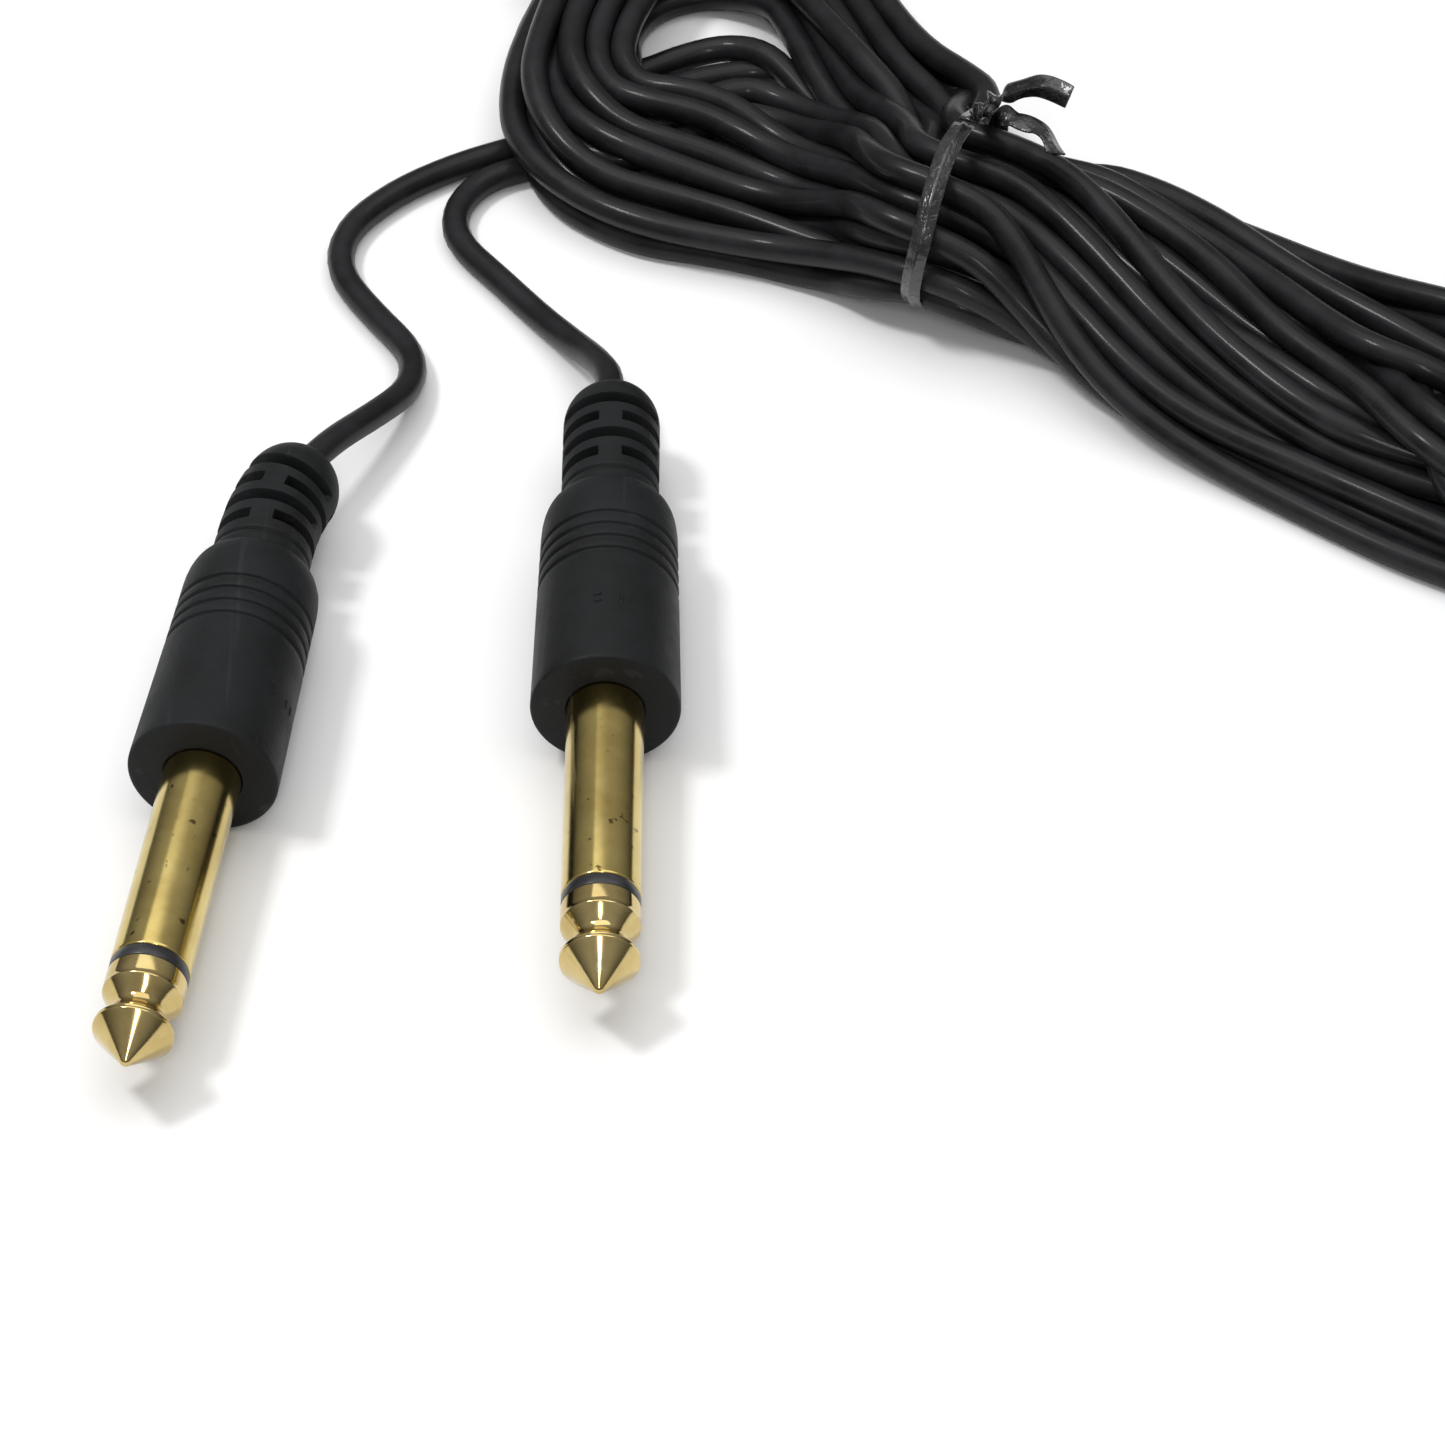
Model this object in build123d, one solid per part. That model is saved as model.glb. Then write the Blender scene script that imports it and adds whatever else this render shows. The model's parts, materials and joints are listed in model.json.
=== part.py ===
from build123d import *
import os
from math import cos, radians, sin, tan

# Instrument cable: two moulded 6.35 mm mono plugs, one round cord folded in half and wound
# double into a hank that is pinched by a twist tie. Millimetres, +Z up, standing surface at
# z = 0, origin under the middle of the two plugs. Each plug is built on its own axis, with
# its nose towards -Y and the front face of its moulded body at y = 0, and then laid in place.

# Lay-out of the two plugs on the surface
PLUG_SPACING = 32.2
PLUG_A_FACE_Y = -7.2
PLUG_B_FACE_Y = 0.35
PLUG_A_TURN = -7.0

# Contact: 6.35 mm mono phone plug
CONTACT_R = 6.35 / 2
CONTACT_LENGTH = 30.5
SHANK_R = 2.7
NOSE_R = 0.6
BULB_FRONT = 27.5
BULB_BACK = 26.95
NECK_R = 2.05
NECK_AT = 25.3
COLLAR_FRONT = 23.6
RING_FRONT = 21.95
RING_BACK = 20.8
ROD_R = 1.25
ROD_END = 9.6
INSULATOR_R = 1.95
SLEEVE_END = 6.5
FLANGE_R = 4.0
FLANGE_START = 1.6
FLANGE_END = 3.0
WASHER_R = 3.0
WASHER_THICK = 0.9
TERMINAL_THICK = 0.5

# Moulded body and strain relief
BODY_FRONT_R = 6.17
BODY_BACK_R = 5.7
BODY_TAPER_END = 19.4
BODY_END = 24.8
NECK_START = 23.5
BODY_NECK_R = 4.2
GROOVES = (13.1, 14.6, 16.1, 17.6)
GROOVE_DEPTH = 0.28
GROOVE_WIDTH = 0.62
INNER_R = 4.6
INNER_START = 0.9
INNER_END = 17.5
CHAMBER_R = 3.8
CHAMBER_END = 15.4
RELIEF_R = 4.15
RELIEF_ROOT_R = 2.05
RELIEF_END = 38.0
RELIEF_DOME = 3.9
SLOT_WIDTH = 0.95
SLOT_PITCH = 2.2
SLOT_FIRST = 26.9
SLOT_ROWS = 4
BRIDGE = 2.1

# Cord
CORD_R = 2.5 / 2
CORE_R = 0.62
STRAND_R = 0.32
CORD_STUB_START = 12.6
CORD_STUB_END = BODY_END
LEAD_START = 32.0
EXIT_RUN = 2.2

# Where each lead lies between its plug and the hank
LEAD_A = [
    (-9.2, 36.3, 5.1),
    (-3.6, 39.6, 3.3),
    (-0.6, 44.6, 1.8),
    (-1.5, 50.2, 1.3),
    (-5.7, 55.2, 1.25),
    (-9.1, 60.7, 1.25),
    (-8.9, 66.6, 1.25),
    (-4.7, 72.0, 1.25),
    (0.9, 76.0, 1.25),
    (6.6, 78.6, 1.25),
]
LEAD_B = [
    (15.2, 44.8, 4.6),
    (12.8, 49.6, 2.3),
    (9.4, 54.5, 1.35),
    (5.4, 60.0, 1.25),
    (1.2, 65.4, 1.25),
    (1.2, 70.4, 1.25),
    (4.0, 74.4, 1.25),
    (8.7, 76.1, 1.25),
]

# Hank: plan outlines of its two loops and the waist where the tie pinches them
LOOP_HEIGHT = 7.6
WAIST_PLACE = (46.4, 61.7)
WAIST_TURN = -20.0
WAIST_HALF_WIDTH = 10.4
WAIST_HALF_HEIGHT = 7.9
WAIST_LENGTH = 22.0
LEFT_OUTLINE = [
    (46.0, 55.0), (37.0, 58.9), (23.6, 59.6), (12.8, 63.9), (6.8, 70.4), (4.6, 79.0),
    (6.2, 97.0), (12.6, 110.0), (24.6, 115.0), (36.4, 108.8), (43.6, 94.0), (51.0, 78.0),
    (55.0, 64.0),
]
LEFT_HOLE = [
    (18.4, 92.0), (25.6, 88.6), (33.0, 90.8), (33.4, 97.0), (27.0, 101.2), (20.2, 99.0),
]
RIGHT_OUTLINE = [
    (43.0, 67.0), (45.0, 55.0), (54.0, 49.0), (60.4, 41.2), (68.0, 34.8), (76.0, 28.4),
    (84.6, 22.2), (94.6, 18.0), (106.0, 15.4), (117.0, 16.6), (124.0, 23.4), (121.6, 31.8),
    (113.0, 38.6), (101.4, 45.6), (89.6, 52.6), (80.6, 58.4), (71.2, 64.2), (60.0, 70.0),
    (50.0, 71.6),
]
RIGHT_HOLE = [
    (77.4, 40.6), (84.4, 34.4), (94.4, 29.2), (104.4, 26.4), (109.8, 27.8), (105.0, 31.8),
    (96.0, 36.4), (86.4, 40.4),
]

# Twist tie: flat plastic ribbon with a wire core, twisted shut on top of the hank
RIBBON_WIDTH = 2.0
RIBBON_THICK = 0.7
WIRE_R = 0.2
TWIST_R = 1.0
TWIST_LENGTH = 4.4
TAIL_LENGTH = 7.5
TAIL_WIDTH = 2.8
TAIL_TURNS = (12.0, -24.0)


def turned(profile):
    """Solid of revolution about Y from (y, radius) points."""
    points = [(radius, y) for y, radius in profile]
    face = make_face(Polyline(*points, close=True))
    return revolve(face, Axis.Y)


def rod_between(start, end, radius):
    """Round bar along Y."""
    return turned([(start, 0.0), (start, radius), (end, radius), (end, 0.0)])


def tube_between(start, end, outer, inner):
    """Round tube along Y."""
    return turned([(start, inner), (start, outer), (end, outer), (end, inner)])


def tip_contact():
    """Pointed tip with its neck, and the rod that carries it through the sleeve."""
    return turned([
        (-CONTACT_LENGTH, 0.0),
        (-CONTACT_LENGTH, NOSE_R),
        (-BULB_FRONT - 0.25, CONTACT_R - 0.16),
        (-BULB_FRONT, CONTACT_R),
        (-BULB_BACK, CONTACT_R),
        (-BULB_BACK + 0.45, CONTACT_R - 0.35),
        (-NECK_AT - 0.35, NECK_R + 0.15),
        (-NECK_AT, NECK_R),
        (-NECK_AT + 0.3, NECK_R),
        (-NECK_AT + 0.75, NECK_R + 0.3),
        (-COLLAR_FRONT - 0.3, CONTACT_R - 0.3),
        (-COLLAR_FRONT, CONTACT_R),
        (-RING_FRONT, CONTACT_R),
        (-RING_FRONT, ROD_R),
        (ROD_END, ROD_R),
        (ROD_END, 0.0),
    ])


def insulator():
    """Black ring behind the tip, in one piece with the tube round the rod."""
    return turned([
        (-RING_FRONT, ROD_R),
        (-RING_FRONT, CONTACT_R),
        (-RING_BACK, CONTACT_R),
        (-RING_BACK, INSULATOR_R),
        (SLEEVE_END, INSULATOR_R),
        (SLEEVE_END, ROD_R),
    ])


def sleeve():
    """Sleeve contact, turned down inside the moulding behind a flange that anchors it."""
    return turned([
        (-RING_BACK, INSULATOR_R),
        (-RING_BACK, CONTACT_R),
        (0.0, CONTACT_R),
        (0.0, SHANK_R),
        (FLANGE_START, SHANK_R),
        (FLANGE_START, FLANGE_R),
        (FLANGE_END, FLANGE_R),
        (FLANGE_END, SHANK_R),
        (SLEEVE_END, SHANK_R),
        (SLEEVE_END, INSULATOR_R),
    ])


def ground_terminal():
    """Ring riveted behind the sleeve, with the tongue that the screen is soldered to."""
    ring = tube_between(SLEEVE_END, SLEEVE_END + TERMINAL_THICK, SHANK_R, INSULATOR_R)
    tongue = Pos(0, SLEEVE_END + 3.2, (TERMINAL_THICK - 2 * SHANK_R) / 2) * Box(2.0, 6.4, TERMINAL_THICK)
    return ring + tongue


def back_washer():
    """Insulating washer between the ground terminal and the tip terminal."""
    start = SLEEVE_END + TERMINAL_THICK
    washer = tube_between(start, start + WASHER_THICK, WASHER_R, ROD_R)
    return washer - ground_terminal()


def tip_terminal():
    """Ring on the rod's riveted end, with the tongue that the core is soldered to."""
    start = SLEEVE_END + TERMINAL_THICK + WASHER_THICK
    ring = tube_between(start, start + TERMINAL_THICK, 2.1, ROD_R)
    tongue = Pos(0, start + 2.4, 2.0) * Box(1.6, 4.8, TERMINAL_THICK)
    return ring + tongue


def cord_stub():
    """Stretch of the cord's jacket that the moulding grips."""
    return tube_between(CORD_STUB_START, CORD_STUB_END, CORD_R, CORE_R)


def core_insulation():
    """White insulation of the inner conductor."""
    return tube_between(CORD_STUB_START - 1.1, CORD_STUB_END, CORE_R, STRAND_R)


def conductor():
    """Stranded inner conductor, led up to the tip terminal."""
    straight = rod_between(CORD_STUB_START - 1.7, CORD_STUB_END, STRAND_R)
    riser = Pos(0, CORD_STUB_START - 1.7, 0.9) * Cylinder(STRAND_R, 1.7)
    return straight + riser


def screen_tail():
    """Screen wires twisted together and led down to the ground terminal."""
    tail = Pos(0, CORD_STUB_START - 0.35, -1.55) * Cylinder(0.35, 1.9)
    return tail - cord_stub() - core_insulation() - ground_terminal()


def solder():
    """One solder joint on each terminal, as two separate solids."""
    top = Pos(0, CORD_STUB_START - 1.7, 2.35) * Cylinder(0.75, 0.9)
    low = Pos(0, CORD_STUB_START - 0.35, -1.95) * Cylinder(0.75, 0.8)
    taken = [tip_terminal(), ground_terminal(), conductor(), screen_tail()]
    joints = [joint - taken for joint in (top, low)]
    return Compound(children=[joint.solid() for joint in joints])


def inner_mould():
    """Stiff inner moulding that grips the sleeve's flange and shields the terminals."""
    return turned([
        (INNER_START, SHANK_R),
        (INNER_START, INNER_R),
        (INNER_END - 1.2, INNER_R),
        (INNER_END, INNER_R - 1.2),
        (INNER_END, CORD_R),
        (CHAMBER_END, CORD_R),
        (CHAMBER_END, CHAMBER_R),
        (SLEEVE_END, CHAMBER_R),
        (SLEEVE_END, SHANK_R),
        (FLANGE_END, SHANK_R),
        (FLANGE_END, FLANGE_R),
        (FLANGE_START, FLANGE_R),
        (FLANGE_START, SHANK_R),
    ])


def body():
    """Tapered outer moulding with four grooves, a round shoulder and a short neck."""
    outline = Polyline((0, 0), (BODY_FRONT_R - 0.15, 0), (BODY_FRONT_R, 0.15))
    side = Line((BODY_FRONT_R, 0.15), (BODY_BACK_R, BODY_TAPER_END))
    shoulder = Spline(
        (BODY_BACK_R, BODY_TAPER_END),
        (BODY_BACK_R - 0.5, NECK_START - 1.1),
        (BODY_NECK_R, NECK_START),
        tangents=[(BODY_BACK_R - BODY_FRONT_R, BODY_TAPER_END), (-0.12, 1.0)],
    )
    back = Polyline((BODY_NECK_R, NECK_START), (BODY_NECK_R, BODY_END), (0, BODY_END), (0, 0))
    shell = revolve(make_face([*outline.edges(), side, shoulder, *back.edges()]), Axis.Y)
    slope = (BODY_FRONT_R - BODY_BACK_R) / BODY_TAPER_END
    for at in GROOVES:
        surface = BODY_FRONT_R - slope * at
        cutter = tube_between(at - GROOVE_WIDTH / 2, at + GROOVE_WIDTH / 2, BODY_FRONT_R + 1,
                              surface - GROOVE_DEPTH)
        shell -= cutter
    bore = rod_between(-1, INNER_START, SHANK_R)
    core = turned([
        (INNER_START, 0.0),
        (INNER_START, INNER_R),
        (INNER_END - 1.2, INNER_R),
        (INNER_END, INNER_R - 1.2),
        (INNER_END, 0.0),
    ])
    return shell - bore - core - rod_between(INNER_END, BODY_END + 1, CORD_R)


def slot_row(at, turn):
    """A pair of slots round the relief, parted by two bridges."""
    ring = tube_between(at - SLOT_WIDTH / 2, at + SLOT_WIDTH / 2, RELIEF_R + 1, RELIEF_ROOT_R)
    bridge = Pos(0, at, 0) * Box(BRIDGE, SLOT_WIDTH + 1, 2 * RELIEF_R + 4)
    return ring - Rot(0, turn, 0) * bridge


def relief():
    """Slotted strain relief with a domed end, moulded on behind the body."""
    outline = Polyline((0, BODY_END), (RELIEF_R, BODY_END), (RELIEF_R, RELIEF_END - RELIEF_DOME))
    dome = Spline(
        (RELIEF_R, RELIEF_END - RELIEF_DOME),
        (RELIEF_R - 1.15, RELIEF_END - 1.2),
        (CORD_R + 0.35, RELIEF_END),
        tangents=[(0, 1), (-1.0, 0.25)],
    )
    back = Polyline((CORD_R + 0.35, RELIEF_END), (0, RELIEF_END), (0, BODY_END))
    block = revolve(make_face([*outline.edges(), dome, *back.edges()]), Axis.Y)
    for row in range(SLOT_ROWS):
        turn = 90 if row % 2 else 0
        block -= slot_row(SLOT_FIRST + row * SLOT_PITCH, turn)
    parting = tube_between(BODY_END, BODY_END + 0.3, RELIEF_R + 1, RELIEF_R - 0.35)
    return block - parting - rod_between(BODY_END - 1, RELIEF_END + 1, CORD_R)


PLUG_PIECES = {
    "tip_contact": tip_contact,
    "tip_insulator": insulator,
    "sleeve_contact": sleeve,
    "ground_terminal": ground_terminal,
    "back_washer": back_washer,
    "tip_terminal": tip_terminal,
    "solder_joints": solder,
    "cord_jacket_end": cord_stub,
    "core_insulation": core_insulation,
    "core_conductor": conductor,
    "screen_tail": screen_tail,
    "inner_mould": inner_mould,
    "body": body,
    "strain_relief": relief,
}

PLUG_PLACES = {
    "plug_a": Pos(-PLUG_SPACING / 2, PLUG_A_FACE_Y, BODY_FRONT_R) * Rot(0, 0, PLUG_A_TURN),
    "plug_b": Pos(PLUG_SPACING / 2, PLUG_B_FACE_Y, BODY_FRONT_R),
}


def corner_radii(points):
    """Radius of the arc at each corner: 0.45 of the shorter run over the tangent of half the turn."""
    radii = []
    for before, corner, after in zip(points, points[1:], points[2:]):
        first = Vector(*corner) - Vector(*before)
        second = Vector(*after) - Vector(*corner)
        turn = radians(first.get_angle(second))
        radii.append(0.45 * min(first.length, second.length) / tan(turn / 2))
    return radii


def lead(name, points):
    """Round cord along straight runs joined by tangent arcs."""
    radii = corner_radii(points)
    path = FilletPolyline(*points, radius=radii)
    start = Plane(origin=path @ 0, z_dir=path % 0)
    tube = sweep(start * Circle(CORD_R), path=path)
    print(name, "radii", [round(r, 1) for r in radii], "length", round(path.length, 1),
          "volume ratio", round(tube.volume / (path.length * 3.14159265 * CORD_R ** 2), 4))
    return tube


def hank():
    """Closed solid of the tied hank: two open loops and the round waist between them."""
    waist = waist_bar(0.0, WAIST_LENGTH)
    room_for_tie = at_waist() * Box(60, 60, RIBBON_WIDTH + 1.6)
    for outline, hole in ((LEFT_OUTLINE, LEFT_HOLE), (RIGHT_OUTLINE, RIGHT_HOLE)):
        loop = make_face(Spline(*outline, periodic=True)) - make_face(Spline(*hole, periodic=True))
        waist += extrude(loop, LOOP_HEIGHT) - room_for_tie
    return waist


def at_waist():
    """Place on the hank's waist, with Z along it and Y up."""
    height = WAIST_HALF_HEIGHT + RIBBON_THICK
    return Pos(*WAIST_PLACE, height) * Rot(0, 0, WAIST_TURN + 90) * Rot(90, 0, 0)


def waist_bar(skin, length):
    """Oval bar along the waist, grown by the skin's thickness."""
    oval = Ellipse(WAIST_HALF_WIDTH + skin, WAIST_HALF_HEIGHT + skin)
    return at_waist() * extrude(oval, length / 2, both=True)


def tail_place(turn):
    """Start of one of the tie's tails, at the top of its ring."""
    top = 2 * (WAIST_HALF_HEIGHT + RIBBON_THICK) - 0.1
    return Pos(*WAIST_PLACE, top) * Rot(0, 0, turn)


def tie_wire():
    """Steel wire in the tie: a ring round the waist and a length in each tail."""
    middle = RIBBON_THICK / 2
    oval = Edge.make_ellipse(WAIST_HALF_WIDTH + middle, WAIST_HALF_HEIGHT + middle)
    start = Plane(origin=oval @ 0, z_dir=oval % 0)
    wires = [at_waist() * sweep(start * Circle(WIRE_R), path=oval)]
    for turn in TAIL_TURNS:
        bar = Cylinder(WIRE_R, TAIL_LENGTH, rotation=(0, 90, 0))
        wires.append(tail_place(turn) * Pos(TWIST_LENGTH + TAIL_LENGTH / 2, 0, 0.35) * bar)
    return Compound(children=[wire.solid() for wire in wires])


def tie_ribbon():
    """Ribbon round the waist, twisted together above it, with two flat tails."""
    band = waist_bar(RIBBON_THICK, RIBBON_WIDTH) - waist_bar(0.0, RIBBON_WIDTH + 2)
    for turn in TAIL_TURNS:
        twist = Pos(TWIST_LENGTH / 2, 0, 0.35) * Cylinder(TWIST_R, TWIST_LENGTH, rotation=(0, 90, 0))
        tail = Pos(TWIST_LENGTH + TAIL_LENGTH / 2, 0, 0.35) * Box(TAIL_LENGTH, TAIL_WIDTH, 0.8)
        band += tail_place(turn) * (twist + tail)
    return band - hank() - tie_wire().solids()


def write(node, shape):
    """One STEP file for one node."""
    shape.label = node
    export_step(shape, os.path.join("parts", node + ".step"))


os.makedirs("parts", exist_ok=True)
for plug, place in PLUG_PLACES.items():
    for piece, make in PLUG_PIECES.items():
        write(f"{plug}_{piece}", place * make())

for name, place, route in (("a", PLUG_PLACES["plug_a"], LEAD_A), ("b", PLUG_PLACES["plug_b"], LEAD_B)):
    start = (place * Pos(0, LEAD_START, 0)).position
    exit_point = (place * Pos(0, RELIEF_END + EXIT_RUN, 0)).position
    write(f"lead_{name}", lead(f"lead_{name}", [tuple(start), tuple(exit_point), *route]))
write("hank", hank())
write("tie_wire", tie_wire())
write("tie_ribbon", tie_ribbon())
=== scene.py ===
import bpy
import bmesh
import json
import math
import numpy as np
from mathutils import Matrix, Vector


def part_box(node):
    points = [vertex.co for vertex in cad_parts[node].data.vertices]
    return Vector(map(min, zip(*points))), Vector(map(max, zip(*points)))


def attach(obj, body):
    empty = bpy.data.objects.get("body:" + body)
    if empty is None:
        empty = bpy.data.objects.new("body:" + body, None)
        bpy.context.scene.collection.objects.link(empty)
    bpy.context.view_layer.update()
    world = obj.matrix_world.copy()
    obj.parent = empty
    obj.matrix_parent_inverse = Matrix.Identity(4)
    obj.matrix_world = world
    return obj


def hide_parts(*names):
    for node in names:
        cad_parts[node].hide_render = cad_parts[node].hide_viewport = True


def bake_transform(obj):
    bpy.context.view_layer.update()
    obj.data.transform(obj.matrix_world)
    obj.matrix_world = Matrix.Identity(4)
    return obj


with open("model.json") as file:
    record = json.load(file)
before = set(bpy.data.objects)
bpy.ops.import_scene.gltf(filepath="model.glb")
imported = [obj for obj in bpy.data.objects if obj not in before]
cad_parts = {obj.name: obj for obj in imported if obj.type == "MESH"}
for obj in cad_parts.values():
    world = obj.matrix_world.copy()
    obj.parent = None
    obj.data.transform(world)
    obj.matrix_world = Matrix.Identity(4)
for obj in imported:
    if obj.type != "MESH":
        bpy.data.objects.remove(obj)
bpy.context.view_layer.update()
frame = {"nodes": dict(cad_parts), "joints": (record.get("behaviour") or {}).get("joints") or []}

scene = bpy.context.scene
link = scene.collection.objects.link

# ---------------------------------------------------------------------------------------------
# Camera: a long lens over the two plugs, looking down at them from the side of their tips.
VIEW_PLACE = (0.0256, -0.2844, 0.2954)
VIEW_TILT = math.radians(44.43)
LENS = 124.57

camera = bpy.data.objects.new("camera", bpy.data.cameras.new("camera"))
camera.location = VIEW_PLACE
camera.rotation_euler = (VIEW_TILT, 0, 0)
camera.data.lens = LENS
camera.data.sensor_width = 36
camera.data.clip_start = 0.01
link(camera)
scene.camera = camera

# ---------------------------------------------------------------------------------------------
# Cord: one round black PVC lead. It is folded in half and wound double into a hank of eight
# turns, so that both ends come out side by side, each with its own moulded plug.
CORD = 0.0025
TURNS = 8
COLUMNS = 8
STEP = 0.0016
POINTS_APART = 3
LEAST_POINT_GAP = 0.0046
LAYER_PITCH = 0.87
# How far a strand may stray from its place in a band, as a share of the band's width
SWAY = 0.035
# The wound cord settles in this many steps. It sinks by a share of its diameter in each, but not in
# the last ones, and strands closer than a share of the diameter push each other apart.
SETTLE_STEPS = 380
LEVEL_STEPS = 40
SINK = 0.012
LEAST_APART = 1.01
LOOK_AROUND = 1.5
SAME_STRAND = 4

# The two loose ends, each from inside its strain relief to the hank
LEAD_A = [
    (-0.0116, 0.02685, 0.00617), (-0.0099, 0.03005, 0.00615), (-0.0077, 0.03375, 0.0057),
    (-0.0045, 0.0388, 0.0040), (-0.0017, 0.0441, 0.0022), (-0.0018, 0.0497, 0.0014),
    (-0.0057, 0.0552, 0.00125), (-0.0091, 0.0607, 0.00125), (-0.0089, 0.0666, 0.00125),
    (-0.0047, 0.0720, 0.00125), (0.0009, 0.0760, 0.00125), (0.0066, 0.0786, 0.00125),
]
LEAD_B = [
    (0.0161, 0.0340, 0.00617), (0.0161, 0.0405, 0.0060), (0.0150, 0.0448, 0.0045),
    (0.0128, 0.0496, 0.0023), (0.0094, 0.0545, 0.00135), (0.0054, 0.0600, 0.00125),
    (0.0012, 0.0654, 0.00125), (0.0012, 0.0704, 0.00125), (0.0040, 0.0744, 0.00125),
    (0.0087, 0.0761, 0.00125),
]

# The tie's oval and the direction in which the strands pass through it
WAIST = np.array((0.0464, 0.0617))
WAIST_ALONG = np.array((math.cos(math.radians(-20)), math.sin(math.radians(-20))))
WAIST_ACROSS = np.array((-WAIST_ALONG[1], WAIST_ALONG[0]))
WAIST_WIDE = 0.0104
WAIST_HIGH = 0.0079

# Left loop, from the tie's front side round to its rear: outer edge, inner edge
LEFT_LOOP = [
    ((0.0378, 0.0588), (0.0410, 0.0720)), ((0.0304, 0.0616), (0.0345, 0.0812)),
    ((0.0242, 0.0628), (0.0270, 0.0878)), ((0.0178, 0.0646), (0.0222, 0.0888)),
    ((0.0120, 0.0685), (0.0188, 0.0890)), ((0.0082, 0.0742), (0.0168, 0.0900)),
    ((0.0072, 0.0812), (0.0162, 0.0925)), ((0.0084, 0.0905), (0.0164, 0.0962)),
    ((0.0102, 0.0992), (0.0175, 0.0998)), ((0.0140, 0.1068), (0.0208, 0.1028)),
    ((0.0200, 0.1120), (0.0245, 0.1038)), ((0.0272, 0.1124), (0.0285, 0.1028)),
    ((0.0340, 0.1072), (0.0314, 0.0995)), ((0.0386, 0.0990), (0.0326, 0.0955)),
    ((0.0412, 0.0915), (0.0343, 0.0895)), ((0.0447, 0.0838), (0.0375, 0.0805)),
    ((0.0486, 0.0770), (0.0424, 0.0730)),
]
# The first turn comes back across the inside of the left loop, low down, and turns early
EARLY_RETURN = [
    (0.0400, 0.0800), (0.0358, 0.0872), (0.0305, 0.0915), (0.0250, 0.0912), (0.0200, 0.0885),
    (0.0155, 0.0872), (0.0117, 0.0845), (0.0106, 0.0800), (0.0130, 0.0760), (0.0175, 0.0747),
]
EARLY_RETURN_APART = 0.0013
EARLY_RETURN_LIFT = 0.0012
# One turn sags over the hole at the left end: by this share of the band's width at most, round
# this station of the left loop, and over this many stations
LOOSE_TURN = 2
LOOSE_SHARE = 0.55
LOOSE_MIDDLE = 7.5
LOOSE_SPREAD = 1.8
# Right loop near the tie, where the whole bundle is twisted: front edge, rear edge, twist, height
RIGHT_BUNDLE = [
    ((0.0530, 0.0495), (0.0600, 0.0700), 30, 0.0135), ((0.0604, 0.0415), (0.0712, 0.0640), 55, 0.0115),
    ((0.0684, 0.0360), (0.0800, 0.0570), 75, 0.0102), ((0.0768, 0.0300), (0.0885, 0.0508), 88, 0.0094),
]
# From this many degrees of twist on, the bundle is fully parted into its two arms
PARTED_TWIST = 60
# How far the two arms have turned over each other by the far end of the loop, in radians
ARM_TURN = 1.536
# How high the strands pile up at the far end of the right loop
RIGHT_END_PILE = 0.0065
# Far end of the right loop: outer edge, inner edge
RIGHT_END = [
    ((0.0852, 0.0244), (0.0872, 0.0352)), ((0.0946, 0.0192), (0.0955, 0.0294)),
    ((0.1060, 0.0156), (0.1040, 0.0250)), ((0.1160, 0.0166), (0.1086, 0.0244)),
    ((0.1225, 0.0225), (0.1120, 0.0288)), ((0.1210, 0.0312), (0.1092, 0.0336)),
    ((0.1120, 0.0382), (0.1042, 0.0342)), ((0.1004, 0.0444), (0.0952, 0.0372)),
]
# The fold in the middle of the cord, a small bight at the left loop's back left corner
BIGHT = [
    (0.0130, 0.1150, 0.0030), (0.0078, 0.1110, 0.0045), (0.0062, 0.1052, 0.0060),
    (0.0086, 0.1000, 0.0070), (0.0144, 0.1016, 0.0070), (0.0188, 0.1080, 0.0045),
]


def smooth_line(points, spacing):
    """Evenly spaced points on the smooth line that a row of control points makes."""
    curve = bpy.data.curves.new("line", "CURVE")
    curve.dimensions = "3D"
    curve.resolution_u = 12
    spline = curve.splines.new("NURBS")
    spline.points.add(len(points) - 1)
    for point, place in zip(spline.points, points):
        point.co = (*place, 1)
    spline.order_u = 3
    spline.use_endpoint_u = True
    holder = bpy.data.objects.new("line", curve)
    mesh = bpy.data.meshes.new_from_object(holder)
    line = np.array([v.co[:] for v in mesh.vertices])
    bpy.data.objects.remove(holder)
    bpy.data.curves.remove(curve)
    bpy.data.meshes.remove(mesh)
    along = np.r_[0, np.cumsum(np.linalg.norm(np.diff(line, axis=0), axis=1))]
    count = max(2, round(along[-1] / spacing))
    stops = np.linspace(0, along[-1], count + 1)
    return np.stack([np.interp(stops, along, line[:, k]) for k in range(3)], axis=1)


def oval_slots(count):
    """Places of one half of the strands inside the tie, on a unit disc, sorted from the front."""
    turn = math.pi * (3 - math.sqrt(5))
    spots = []
    number = 0
    while len(spots) < count:
        radius = math.sqrt((number + 0.5) / (2 * count + 1.0))
        spot = (radius * math.cos(turn * number + 0.4), radius * math.sin(turn * number + 0.4))
        if spot[0] < 0:
            spots.append(spot)
        number += 1
    spots.sort()
    return [sorted(spots[k:k + 2], key=lambda s: s[1]) for k in range(0, count, 2)]


def in_tie(spot, along):
    """Point inside the tie for a place on the unit disc."""
    wide = (WAIST_WIDE - CORD * 0.5) * spot[0]
    plan = WAIST + WAIST_ACROSS * wide + WAIST_ALONG * along
    return (*plan, WAIST_HIGH + (WAIST_HIGH - CORD * 0.5) * spot[1])


def across(edges, share):
    """Plan point at a share of the way from the first edge to the second."""
    return np.array(edges[0]) * (1 - share) + np.array(edges[1]) * share


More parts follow.
